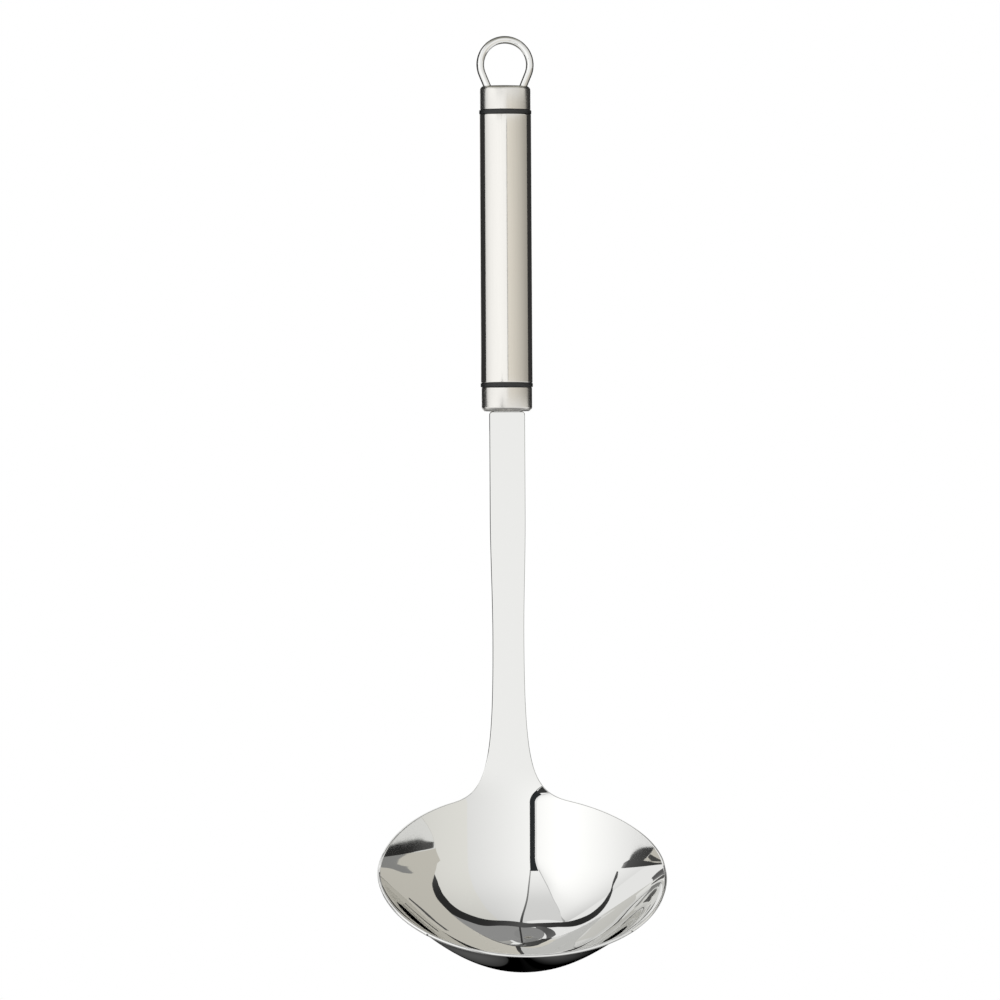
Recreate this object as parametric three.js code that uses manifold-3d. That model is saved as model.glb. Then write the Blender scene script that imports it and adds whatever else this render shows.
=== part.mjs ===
// Soup ladle: a pressed steel bowl and shank, an oval tube handle with end caps, and a wire hanging loop.
// Millimetres, +Z up along the handle, the bowl's open side faces -Y.
// The origin is the hang point, the inside top of the wire loop.
import * as THREE from 'three';
import { mergeVertices } from 'three/addons/utils/BufferGeometryUtils.js';
import Module from 'manifold-3d';

const wasm = await Module();
wasm.setup();

// Clearance between pieces that fit into each other
const FIT_GAP = 0.3;

// Hanging loop: a bent wire, round at the top, with legs that lean in and then run straight
const WIRE_DIAMETER = 2.8;
const LOOP_DIAMETER = 18.0; // across the wire's centre line
const LOOP_STAND = 7.65; // loop centre above the upper cap
const LEG_LEAN = THREE.MathUtils.degToRad(22.5);
const LEAN_DEPTH = 4.0; // the legs keep their lean this far below the cap's top
const LEG_BEND_RADIUS = 4.0;
const LEG_LENGTH = 11.0; // straight end of each leg, down in the plug

// Handle: an oval tube between two drawn caps, with a rubber ring at each joint
const HANDLE_WIDTH = 18.7;
const HANDLE_DEPTH = 12.6;
const HANDLE_WALL = 0.8;
const TUBE_LENGTH = 96.8;
const CAP_HEIGHT = 8.75;
const CAP_STEP = 0.2; // the caps stand back behind the tube's face by this much
const CAP_CORNER_RADIUS = 1.6;
const EDGE_CHAMFER = 0.4; // the bright line beside each ring
const RING_HEIGHT = 1.4;
const RING_PROUD = 0.1;
const RING_ROUND = 0.4;

// Plugs: nylon mouldings that hold cap, ring and tube in line
const PLUG_IN_CAP = 5.0;
const PLUG_IN_TUBE = 18.0;
const PLUG_LEAD = 0.8; // chamfer on both ends
const PIN_DIAMETER = 3.0;
const PIN_DROP = 4.3; // pin axis below the end of the tang
const PIN_RECESS = 0.3; // pin ends below the plug's surface

// Shank: a flat strip with a narrower tang on top
const SHANK_WIDTH = 12.3; // of the flat face, between the rounded edges
const SHANK_THICKNESS = 2.2;
const SHANK_LENGTH = 128.3; // shoulder to the back of the bowl's rim
const SHOULDER_RADIUS = 0.9;
const WAIST_WIDTH = 10.85;
const WAIST_RISE = 47.8; // narrowest place, above the back of the bowl's rim
const TAPER_LENGTH = 43.5; // the strip narrows over this length above the waist
const TANG_WIDTH = 9.8;
const TANG_THICKNESS = 1.8;
const TANG_LENGTH = 25.0;
const TANG_CORNER = 2.0;
const TANG_ROOT = 4.0; // how deep the tang grows out of the strip

// Bowl: an oval dish that runs into the strip without a step, tilted forward
const BOWL_WIDTH = 101.3; // inside the rim
const BOWL_LENGTH = 71.2;
const BOWL_DEPTH = 31.7;
const BOWL_WALL = 1.2;
const RIM_TILT = THREE.MathUtils.degToRad(47.5);
const FLARE_JOIN = 12.0; // where the flare meets the rim, below the rim's back point
const FLARE_SLIMNESS = 0.6; // share of the flare's length that pulls it straight at the waist
const FLARE_RIM_PULL = 13.8; // how long the flare follows the rim
const CURL_RISE = 1.5; // above the back of the rim, where the flat strip starts to dish
const DISH_BLEND = 8.0; // length over which the dishing passes from the strip to the arc
const EDGE_SWELL = 0.35; // the sheet's rounded edges stand out by this much

// Fineness of the facets
const OVAL_SEGMENTS = 40;
const CORNER_STEPS = 4;
const WIRE_SIDES = 10;
const WIRE_STEPS = 56;
const PIN_SIDES = 20;
const SHOULDER_ROWS = 4;
const SHANK_ROWS = 10;
const FLARE_ROWS = 20;
const BOWL_ROWS = 46;
const SHEET_COLUMNS = 18;
const BISECTIONS = 50;

// Levels along the handle, from the top of the upper cap down
const PLUG_INSET = HANDLE_WALL + FIT_GAP;
const UPPER_RING_TOP = -CAP_HEIGHT;
const TUBE_TOP = UPPER_RING_TOP - RING_HEIGHT;
const TUBE_BOTTOM = TUBE_TOP - TUBE_LENGTH;
const LOWER_CAP_TOP = TUBE_BOTTOM - RING_HEIGHT;
const HANDLE_BOTTOM = LOWER_CAP_TOP - CAP_HEIGHT;
const SHOULDER_LEVEL = HANDLE_BOTTOM - FIT_GAP;
const LOWER_PLUG_TOP = TUBE_BOTTOM + PLUG_IN_TUBE;
const PIN_LEVEL = SHOULDER_LEVEL + TANG_LENGTH - PIN_DROP;

// Height of the upper cap's top below the hang point
const HANDLE_TOP = (WIRE_DIAMETER - LOOP_DIAMETER) / 2 - LOOP_STAND;

// A closed mesh as a solid for cutting and joining
function toSolid(geometry) {
  const bare = geometry.clone();
  bare.deleteAttribute('normal');
  bare.deleteAttribute('uv');
  const merged = mergeVertices(bare);
  return new wasm.Manifold(new wasm.Mesh({
    numProp: 3,
    vertProperties: new Float32Array(merged.attributes.position.array),
    triVerts: new Uint32Array(merged.index.array),
  }));
}

// A solid back as a mesh
function toGeometry(solid) {
  const mesh = solid.getMesh();
  const geometry = new THREE.BufferGeometry();
  geometry.setAttribute('position', new THREE.BufferAttribute(mesh.vertProperties, 3));
  geometry.setIndex(new THREE.BufferAttribute(mesh.triVerts, 1));
  geometry.computeVertexNormals();
  return geometry;
}

function cut(geometry, ...tools) {
  const rest = tools.reduce((solid, tool) => solid.subtract(toSolid(tool)), toSolid(geometry));
  return toGeometry(rest);
}

function piece(name, geometry, material) {
  const mesh = new THREE.Mesh(geometry, material);
  mesh.name = name;
  return mesh;
}

function polishedSteel() {
  return new THREE.MeshStandardMaterial({ color: 0xdcdcd8, metalness: 1.0, roughness: 0.06 });
}

function satinSteel() {
  return new THREE.MeshStandardMaterial({ color: 0xc8c6be, metalness: 1.0, roughness: 0.36 });
}

function blackRubber() {
  return new THREE.MeshStandardMaterial({ color: 0x151617, metalness: 0.0, roughness: 0.7 });
}

function greyNylon() {
  return new THREE.MeshStandardMaterial({ color: 0x6f7274, metalness: 0.0, roughness: 0.55 });
}

// A body with the handle's oval section. A profile point is an inset from the outer face, and a level.
function ovalBody(profile) {
  const halfWidth = HANDLE_WIDTH / 2;
  const flattening = (HANDLE_WIDTH - HANDLE_DEPTH) / 2;
  const outline = profile.map(([inset, level]) => new THREE.Vector2(halfWidth - inset, level));
  const geometry = new THREE.LatheGeometry(outline, OVAL_SEGMENTS);
  geometry.rotateX(Math.PI / 2);
  const position = geometry.attributes.position;
  for (let i = 0; i < position.count; i += 1) {
    const radius = Math.hypot(position.getX(i), position.getY(i));
    const scale = radius > flattening ? (radius - flattening) / radius : 0;
    position.setY(i, position.getY(i) * scale);
  }
  return geometry;
}

// The inset that puts a profile point on the handle's axis
const ON_AXIS = HANDLE_WIDTH / 2;

function handleTube() {
  return ovalBody([
    [EDGE_CHAMFER, TUBE_BOTTOM],
    [0, TUBE_BOTTOM + EDGE_CHAMFER],
    [0, TUBE_TOP - EDGE_CHAMFER],
    [EDGE_CHAMFER, TUBE_TOP],
    [HANDLE_WALL, TUBE_TOP],
    [HANDLE_WALL, TUBE_BOTTOM],
    [EDGE_CHAMFER, TUBE_BOTTOM],
  ]);
}

function ring(top) {
  const bottom = top - RING_HEIGHT;
  return ovalBody([
    [0, bottom],
    [-RING_PROUD, bottom + RING_ROUND],
    [-RING_PROUD, top - RING_ROUND],
    [0, top],
    [HANDLE_WALL, top],
    [HANDLE_WALL, bottom],
    [0, bottom],
  ]);
}

// Quarter round from the side wall to the end plate of a cap
function cornerArc(radius, inset, level) {
  const points = [];
  for (let i = 0; i <= CORNER_STEPS; i += 1) {
    const angle = (i / CORNER_STEPS) * (Math.PI / 2);
    points.push([inset + radius * (1 - Math.cos(angle)), level + radius * Math.sin(angle)]);
  }
  return points;
}

// A drawn cup with its end plate on top at level 0, open below
function capCup() {
  const wall = HANDLE_WALL - CAP_STEP;
  return ovalBody([
    [CAP_STEP + EDGE_CHAMFER, -CAP_HEIGHT],
    [CAP_STEP, EDGE_CHAMFER - CAP_HEIGHT],
    ...cornerArc(CAP_CORNER_RADIUS, CAP_STEP, -CAP_CORNER_RADIUS),
    [ON_AXIS, 0],
    [ON_AXIS, -wall],
    ...cornerArc(CAP_CORNER_RADIUS - wall, HANDLE_WALL, -CAP_CORNER_RADIUS).reverse(),
    [HANDLE_WALL, -CAP_HEIGHT],
    [CAP_STEP + EDGE_CHAMFER, -CAP_HEIGHT],
  ]);
}

function plug(bottom, top) {
  return ovalBody([
    [ON_AXIS, bottom],
    [PLUG_INSET + PLUG_LEAD, bottom],
    [PLUG_INSET, bottom + PLUG_LEAD],
    [PLUG_INSET, top - PLUG_LEAD],
    [PLUG_INSET + PLUG_LEAD, top],
    [ON_AXIS, top],
  ]);
}

// Centre line of the wire, from the end of one leg over the loop to the end of the other
function wireLine(extraLength) {
  const loopRadius = LOOP_DIAMETER / 2;
  const tangent = new THREE.Vector2(loopRadius * Math.cos(LEG_LEAN), -loopRadius * Math.sin(LEG_LEAN));
  const bendTop = -LOOP_STAND - LEAN_DEPTH;
  const bendX = tangent.x - (tangent.y - bendTop) * Math.tan(LEG_LEAN);
  const legX = bendX - LEG_BEND_RADIUS * (1 - Math.cos(LEG_LEAN));
  const legTop = bendTop - LEG_BEND_RADIUS * Math.sin(LEG_LEAN);
  const legEnd = legTop - LEG_LENGTH - extraLength;
  const bendCentre = legX + LEG_BEND_RADIUS;
  const line = new THREE.Path();
  line.moveTo(-legX, legEnd);
  line.lineTo(-legX, legTop);
  line.absarc(-bendCentre, legTop, LEG_BEND_RADIUS, 0, LEG_LEAN, false);
  line.lineTo(-tangent.x, tangent.y);
  line.absarc(0, 0, loopRadius, Math.PI + LEG_LEAN, -LEG_LEAN, true);
  line.lineTo(bendX, bendTop);
  line.absarc(bendCentre, legTop, LEG_BEND_RADIUS, Math.PI - LEG_LEAN, Math.PI, false);
  line.lineTo(legX, legEnd);
  const flat = line.getSpacedPoints(2 * WIRE_STEPS);
  return new THREE.CatmullRomCurve3(flat.map((p) => new THREE.Vector3(p.x, 0, p.y + LOOP_STAND)));
}

// A round bar along the wire's centre line, as the wire itself or as the cutter for its holes
function wireBar(radius, extraLength) {
  const section = new THREE.Shape();
  section.absarc(0, 0, radius, 0, 2 * Math.PI, false);
  return new THREE.ExtrudeGeometry(section, {
    steps: WIRE_STEPS,
    curveSegments: WIRE_SIDES / 2,
    extrudePath: wireLine(extraLength),
  });
}

const wire = wireBar(WIRE_DIAMETER / 2, 0);
const wireHole = wireBar(WIRE_DIAMETER / 2 + FIT_GAP, FIT_GAP);

// Slot for the tang, up through the lower cap and into the lower plug
function tangSlot() {
  const top = SHOULDER_LEVEL + TANG_LENGTH + FIT_GAP;
  const bottom = HANDLE_BOTTOM - HANDLE_WALL;
  const slot = new THREE.BoxGeometry(
    TANG_WIDTH + 2 * FIT_GAP,
    TANG_THICKNESS + 2 * FIT_GAP,
    top - bottom,
  );
  return slot.translate(0, 0, (top + bottom) / 2);
}

function pinHole() {
  const radius = PIN_DIAMETER / 2 + FIT_GAP;
  return new THREE.CylinderGeometry(radius, radius, HANDLE_DEPTH, PIN_SIDES).translate(0, 0, PIN_LEVEL);
}

function tangPin() {
  const radius = PIN_DIAMETER / 2;
  const length = HANDLE_DEPTH - 2 * (PLUG_INSET + PIN_RECESS);
  return new THREE.CylinderGeometry(radius, radius, length, PIN_SIDES).translate(0, 0, PIN_LEVEL);
}

// Tang: a flat tongue with rounded corners and a hole for the pin, rooted in the top of the strip
function tang() {
  const half = TANG_WIDTH / 2;
  const outline = new THREE.Shape();
  outline.moveTo(-half, -TANG_ROOT);
  outline.lineTo(half, -TANG_ROOT);
  outline.lineTo(half, TANG_LENGTH - TANG_CORNER);
  outline.absarc(half - TANG_CORNER, TANG_LENGTH - TANG_CORNER, TANG_CORNER, 0, Math.PI / 2, false);
  outline.lineTo(TANG_CORNER - half, TANG_LENGTH);
  outline.absarc(TANG_CORNER - half, TANG_LENGTH - TANG_CORNER, TANG_CORNER, Math.PI / 2, Math.PI, false);
  outline.closePath();
  const hole = new THREE.Path();
  hole.absarc(0, PIN_LEVEL - SHOULDER_LEVEL, PIN_DIAMETER / 2 + FIT_GAP, 0, 2 * Math.PI, true);
  outline.holes.push(hole);
  const options = { depth: TANG_THICKNESS, bevelEnabled: false, curveSegments: CORNER_STEPS + 2 };
  const tongue = new THREE.ExtrudeGeometry(outline, options);
  return tongue.rotateX(Math.PI / 2).translate(0, TANG_THICKNESS / 2, 0);
}

// The bowl's own measures. Its centre line is one arc, tangent to the front face of the strip.
// Distances along the centre line count from that tangent point, downwards.
const rimHalfWidth = BOWL_WIDTH / 2;
const rimHalfLength = BOWL_LENGTH / 2;
const arcRadius = (rimHalfLength ** 2 + BOWL_DEPTH ** 2) / (2 * BOWL_DEPTH);
const arcToRim = arcRadius - BOWL_DEPTH;
const stripFront = -SHANK_THICKNESS / 2;
const tangentLevel = (arcToRim - arcRadius * Math.sin(RIM_TILT)) / Math.cos(RIM_TILT) - SHANK_LENGTH;
const tangentAngle = RIM_TILT - Math.PI / 2;
const rimBackDistance = tangentLevel + SHANK_LENGTH;
const joinDistance = rimBackDistance + FLARE_JOIN;
const curlDistance = rimBackDistance - CURL_RISE;
const waistDistance = rimBackDistance - WAIST_RISE;
const taperDistance = waistDistance - TAPER_LENGTH;

// Angle on the arc, counted from the bowl's deepest point towards the lip
function arcAngle(distance) {
  return tangentAngle + distance / arcRadius;
}

// Inner face on the centre line, and the direction into the bowl there, as y and z
function centreLine(distance) {
  if (distance <= 0) {
    return { y: stripFront, z: tangentLevel - distance, inY: -1, inZ: 0 };
  }
  const turn = distance / arcRadius;
  const inY = -Math.cos(turn);
  const inZ = Math.sin(turn);
  return {
    y: stripFront - arcRadius - arcRadius * inY,
    z: tangentLevel - arcRadius * inZ,
    inY,
    inZ,
  };
}

// Dishing across the sheet: its rise is this value times the square of the distance from the centre line
function dishing(distance) {
  const pastTangent = (distance + Math.hypot(distance, DISH_BLEND)) / 2;
  const angle = arcAngle(pastTangent);
  const aspect = (rimHalfLength / rimHalfWidth) ** 2;
  const full = aspect / (arcRadius + arcToRim / Math.cos(angle));
  return full * THREE.MathUtils.smoothstep(distance, curlDistance, joinDistance);
}

function sheetThickness(distance) {
  const share = THREE.MathUtils.smoothstep(distance, waistDistance, joinDistance);
  return THREE.MathUtils.lerp(SHANK_THICKNESS, BOWL_WALL, share);
}

function innerPoint(distance, x) {
  const line = centreLine(distance);
  const rise = dishing(distance) * x * x;
  return new THREE.Vector3(x, line.y + line.inY * rise, line.z + line.inZ * rise);
}

// Direction out of the sheet's back at a point of its inner face
function outward(distance, x) {
  const step = 0.01;
  const along = innerPoint(distance + step, x).sub(innerPoint(distance - step, x));
  const across = innerPoint(distance, x + step).sub(innerPoint(distance, x - step));
  return across.cross(along).normalize();
}

// Angle round the oval rim, from its back point to the lip, where the centre line has run this far
function rimAngle(distance) {
  const onArc = arcToRim * Math.tan(arcAngle(Math.max(distance, 0)));
  const onStrip = Math.min(distance, 0) / Math.sin(RIM_TILT);
  return Math.acos(-(onArc + onStrip) / rimHalfLength);
}

// How far the centre line has run where the rim has turned by this angle
function rimDistance(angle) {
  const reach = -rimHalfLength * Math.cos(angle);
  const beyondTangent = reach - arcToRim * Math.tan(tangentAngle);
  if (beyondTangent < 0) {
    return beyondTangent * Math.sin(RIM_TILT);
  }
  return arcRadius * (Math.atan(reach / arcToRim) - tangentAngle);
}

// Rim angle at a share of the bowl's rows, spread half round the rim and half along the centre line
function rowAngle(share, startAngle) {
  const lipDistance = rimDistance(Math.PI);
  let low = startAngle;
  let high = Math.PI;
  for (let i = 0; i < BISECTIONS; i += 1) {
    const middle = (low + high) / 2;
    const roundRim = THREE.MathUtils.inverseLerp(startAngle, Math.PI, middle);
    const along = THREE.MathUtils.inverseLerp(joinDistance, lipDistance, rimDistance(middle));
    if (roundRim + along < 2 * share) {
      low = middle;
    } else {
      high = middle;
    }
  }
  return high;
}

// Half widths of the sheet from the shoulder to the lip, each with its distance along the centre line
function sheetOutline() {
  const rows = [];
  const half = SHANK_WIDTH / 2;
  for (let i = 0; i <= SHOULDER_ROWS; i += 1) {
    const angle = (i / SHOULDER_ROWS) * (Math.PI / 2);
    rows.push({
      half: half - SHOULDER_RADIUS * (1 - Math.sin(angle)),
      distance: tangentLevel + SHOULDER_RADIUS * (1 - Math.cos(angle)),
    });
  }
  const stripStart = tangentLevel + SHOULDER_RADIUS;
  for (let i = 1; i < SHANK_ROWS; i += 1) {
    const distance = THREE.MathUtils.lerp(stripStart, waistDistance, i / SHANK_ROWS);
    const taper = THREE.MathUtils.smoothstep(distance, taperDistance, waistDistance);
    rows.push({ half: THREE.MathUtils.lerp(half, WAIST_WIDTH / 2, taper), distance });
  }
  const joinAngle = rimAngle(joinDistance);
  const rimPoint = (angle) => new THREE.Vector2(rimHalfWidth * Math.sin(angle), rimDistance(angle));
  const join = rimPoint(joinAngle);
  const beside = 0.001;
  const rimRun = rimPoint(joinAngle + beside).sub(join);
  const waist = new THREE.Vector2(WAIST_WIDTH / 2, waistDistance);
  const flare = new THREE.CubicBezierCurve(
    waist,
    new THREE.Vector2(waist.x, THREE.MathUtils.lerp(waist.y, join.y, FLARE_SLIMNESS)),
    join.clone().sub(rimRun.setLength(FLARE_RIM_PULL)),
    join,
  );
  for (let i = 0; i < FLARE_ROWS; i += 1) {
    const point = flare.getPoint(i / FLARE_ROWS);
    rows.push({ half: point.x, distance: point.y });
  }
  for (let i = 0; i <= BOWL_ROWS; i += 1) {
    const point = rimPoint(rowAngle(i / BOWL_ROWS, joinAngle));
    rows.push({ half: point.x, distance: point.y });
  }
  return rows;
}

// The pressed sheet as one closed skin: an inner face, a back face and a rounded edge between them
function pressedSheet() {
  const rows = sheetOutline();
  const lip = rows.length - 1;
  const points = [];
  const triangles = [];
  const add = (point) => points.push(point) - 1;
  const quad = (a, b, c, d) => triangles.push(a, b, c, a, c, d);

  const inner = [];
  const back = [];
  rows.forEach((row, i) => {
    const thickness = sheetThickness(row.distance);
    const columns = i < lip ? SHEET_COLUMNS : 0;
    inner.push([]);
    back.push([]);
    for (let j = 0; j <= columns; j += 1) {
      const x = columns > 0 ? row.half * ((2 * j) / columns - 1) : 0;
      const face = innerPoint(row.distance, x);
      inner[i].push(add(face));
      back[i].push(add(face.clone().addScaledVector(outward(row.distance, x), thickness)));
    }
  });
  const at = (grid, i, j) => grid[i][i < lip ? j : 0];

  for (let i = 0; i < lip; i += 1) {
    for (let j = 0; j < SHEET_COLUMNS; j += 1) {
      triangles.push(at(inner, i, j), at(inner, i + 1, j), at(inner, i, j + 1));
      triangles.push(at(back, i, j), at(back, i, j + 1), at(back, i + 1, j));
      if (i + 1 < lip) {
        triangles.push(at(inner, i, j + 1), at(inner, i + 1, j), at(inner, i + 1, j + 1));
        triangles.push(at(back, i, j + 1), at(back, i + 1, j + 1), at(back, i + 1, j));
      }
    }
  }

  const border = [];
  for (let i = 0; i < lip; i += 1) {
    border.push({ i, j: 0 });
  }
  border.push({ i: lip, j: 0 });
  for (let i = lip - 1; i >= 0; i -= 1) {
    border.push({ i, j: SHEET_COLUMNS });
  }
  const swell = border.map(({ i, j }, n) => {
    const face = points[at(inner, i, j)];
    const rear = points[at(back, i, j)];
    const before = border[Math.max(n - 1, 0)];
    const after = border[Math.min(n + 1, border.length - 1)];
    const run = points[at(inner, after.i, after.j)].clone().sub(points[at(inner, before.i, before.j)]);
    const through = rear.clone().sub(face);
    const side = through.cross(run).setLength(EDGE_SWELL);
    return add(face.clone().add(rear).multiplyScalar(0.5).add(side));
  });
  for (let n = 0; n + 1 < border.length; n += 1) {
    const here = border[n];
    const next = border[n + 1];
    quad(at(inner, here.i, here.j), swell[n], swell[n + 1], at(inner, next.i, next.j));
    quad(swell[n], at(back, here.i, here.j), at(back, next.i, next.j), swell[n + 1]);
  }

  for (let j = 0; j < SHEET_COLUMNS; j += 1) {
    quad(inner[0][j], inner[0][j + 1], back[0][j + 1], back[0][j]);
  }
  triangles.push(inner[0][0], back[0][0], swell[0]);
  triangles.push(inner[0][SHEET_COLUMNS], swell[border.length - 1], back[0][SHEET_COLUMNS]);

  const geometry = new THREE.BufferGeometry().setFromPoints(points);
  geometry.setIndex(triangles);
  return geometry;
}

// Head: bowl, neck, shank and tang are one pressing, placed by its shoulder
const head = new THREE.Group();
head.position.z = SHOULDER_LEVEL;
const pressing = toGeometry(toSolid(pressedSheet()).add(toSolid(tang())));
head.add(piece('bowl_and_shank', pressing, polishedSteel()));

// Handle, placed by the top of its upper cap
const handle = new THREE.Group();
handle.position.z = HANDLE_TOP;

const upperCap = piece('upper_cap', cut(capCup(), wireHole), satinSteel());
const upperRing = piece('upper_ring', ring(UPPER_RING_TOP), blackRubber());
const upperPlugBlank = plug(TUBE_TOP - PLUG_IN_TUBE, UPPER_RING_TOP + PLUG_IN_CAP);
const upperPlug = piece('upper_plug', cut(upperPlugBlank, wireHole), greyNylon());
const tube = piece('handle_tube', handleTube(), satinSteel());
const lowerRing = piece('lower_ring', ring(TUBE_BOTTOM), blackRubber());
const lowerPlugBlank = plug(LOWER_CAP_TOP - PLUG_IN_CAP, LOWER_PLUG_TOP);
const lowerPlug = piece('lower_plug', cut(lowerPlugBlank, tangSlot(), pinHole()), greyNylon());
const lowerCapBlank = capCup().rotateX(Math.PI).translate(0, 0, HANDLE_BOTTOM);
const lowerCap = piece('lower_cap', cut(lowerCapBlank, tangSlot()), satinSteel());
const pin = piece('tang_pin', tangPin(), satinSteel());
const loop = piece('hanging_loop', wire, polishedSteel());
handle.add(loop, upperCap, upperRing, upperPlug, tube, lowerRing, lowerPlug, lowerCap, pin, head);

const ladle = new THREE.Group();
ladle.name = 'ladle';
ladle.add(handle);

export default ladle;
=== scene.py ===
"""Looks of a soup ladle in polished and satin stainless steel.

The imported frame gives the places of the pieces. Each class below models one sub-assembly again with a fine
surface, dresses it in its finish and hands it to the frame. A plain studio stands around the ladle.
"""

import logging
import math
from dataclasses import dataclass, field
from enum import Enum
from typing import Any, Sequence

import bpy
from mathutils import Matrix, Vector

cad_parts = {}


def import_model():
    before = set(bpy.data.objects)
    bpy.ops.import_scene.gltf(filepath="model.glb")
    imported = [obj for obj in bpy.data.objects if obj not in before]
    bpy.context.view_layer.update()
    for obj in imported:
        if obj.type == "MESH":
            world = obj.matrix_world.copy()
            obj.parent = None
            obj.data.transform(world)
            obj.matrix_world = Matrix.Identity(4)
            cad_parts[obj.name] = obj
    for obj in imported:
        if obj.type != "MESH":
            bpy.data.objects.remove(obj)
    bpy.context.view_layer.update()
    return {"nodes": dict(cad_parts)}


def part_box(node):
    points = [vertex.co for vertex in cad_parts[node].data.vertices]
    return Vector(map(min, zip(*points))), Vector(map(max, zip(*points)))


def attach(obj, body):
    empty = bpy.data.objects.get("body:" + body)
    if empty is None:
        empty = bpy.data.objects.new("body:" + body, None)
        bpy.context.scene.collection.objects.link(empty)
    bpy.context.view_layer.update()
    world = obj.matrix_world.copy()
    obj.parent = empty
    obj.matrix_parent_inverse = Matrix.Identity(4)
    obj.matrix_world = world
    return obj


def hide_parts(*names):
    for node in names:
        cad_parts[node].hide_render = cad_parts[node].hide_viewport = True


MM = 0.001
BODY = "root"
WHITE = (1.0, 1.0, 1.0, 1.0)
SIDES = (("left", -1), ("right", 1))

# Points that lie closer than this become one, in millimetres.
WELD = 0.001

# Most of a noise texture's values lie between these two.
NOISE_LOW, NOISE_HIGH = 0.3, 0.7

# An edge of a studio card: azimuths with elevations, in degrees.
Edge = tuple[tuple[float, float], ...]

log = logging.getLogger("ladle")


class Slot(Enum):
    """Material slots of the record."""

    POLISHED_STEEL = "polished_steel"
    SATIN_STEEL = "satin_steel"
    BLACK_RUBBER = "black_rubber"


class Join(Enum):
    """Ways to put two solids together."""

    CUT = "DIFFERENCE"
    FUSE = "UNION"


class Ray(Enum):
    """Kinds of ray that a card or a lamp can be kept from."""

    CAMERA = "visible_camera"
    DIFFUSE = "visible_diffuse"
    GLOSSY = "visible_glossy"
    SHADOW = "visible_shadow"
    TRANSMISSION = "visible_transmission"


def linear(hex_colour: str) -> tuple[float, float, float, float]:
    """Turns an sRGB hex value into a linear colour.

    Args:
        hex_colour: the colour as "#RRGGBB".

    Returns:
        Red, green, blue and a full alpha, from 0 to 1.
    """
    shares = [int(hex_colour[start:start + 2], 16) / 255 for start in (1, 3, 5)]
    red, green, blue = (c / 12.92 if c <= 0.04045 else ((c + 0.055) / 1.055) ** 2.4 for c in shares)
    return red, green, blue, 1.0


def add_node(tree: bpy.types.NodeTree, kind: str, inputs: dict[Any, Any], **settings: Any) -> bpy.types.Node:
    """Adds one node with its settings, values and links.

    Args:
        tree: node tree that gets the node.
        kind: Blender's name of the node type.
        inputs: by the input's name or number, a value to set or an output socket to link.
        **settings: attributes of the node itself.

    Returns:
        The new node.
    """
    node = tree.nodes.new(kind)
    for name, value in settings.items():
        setattr(node, name, value)
    for name, value in inputs.items():
        if isinstance(value, bpy.types.NodeSocket):
            tree.links.new(value, node.inputs[name])
        else:
            node.inputs[name].default_value = value
    return node


def new_material(name: str) -> tuple[bpy.types.Material, bpy.types.NodeTree]:
    """Starts a node material with no nodes in it.

    Args:
        name: what the material is called.

    Returns:
        The material and its empty node tree.
    """
    material = bpy.data.materials.new(name)
    material.use_nodes = True
    material.node_tree.nodes.clear()
    return material, material.node_tree


@dataclass(frozen=True)
class MirrorSteel:
    """Stainless steel, pressed cold and buffed to a mirror. Sizes in millimetres."""

    colour: str = "#E3E3E1"
    smooth: float = 0.012
    smeared: float = 0.03
    smear_size: float = 16.0
    ripple_size: float = 11.0
    ripple_height: float = 0.0025

    def material(self) -> bpy.types.Material:
        """Makes the finish: sharp reflections, a little uneven from the press and from buffing.

        Returns:
            The node material.
        """
        material, tree = new_material("stainless_steel_mirror_polished")
        place = add_node(tree, "ShaderNodeTexCoord", {}).outputs["Object"]
        smears = add_node(tree, "ShaderNodeTexNoise", {
            "Vector": place, "Scale": 1 / (self.smear_size * MM), "Detail": 3.0, "Roughness": 0.6,
        })
        roughness = add_node(tree, "ShaderNodeMapRange", {
            "Value": smears.outputs["Fac"], "From Min": NOISE_LOW, "From Max": NOISE_HIGH,
            "To Min": self.smooth, "To Max": self.smeared,
        })
        ripples = add_node(tree, "ShaderNodeTexNoise", {
            "Vector": place, "Scale": 1 / (self.ripple_size * MM), "Detail": 1.0,
        })
        bump = add_node(tree, "ShaderNodeBump", {
            "Height": ripples.outputs["Fac"], "Distance": self.ripple_height * MM, "Strength": 1.0,
        })
        shader = add_node(tree, "ShaderNodeBsdfPrincipled", {
            "Base Color": linear(self.colour), "Metallic": 1.0,
            "Roughness": roughness.outputs["Result"], "Normal": bump.outputs["Normal"],
        })
        add_node(tree, "ShaderNodeOutputMaterial", {"Surface": shader.outputs["BSDF"]})
        return material


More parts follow.
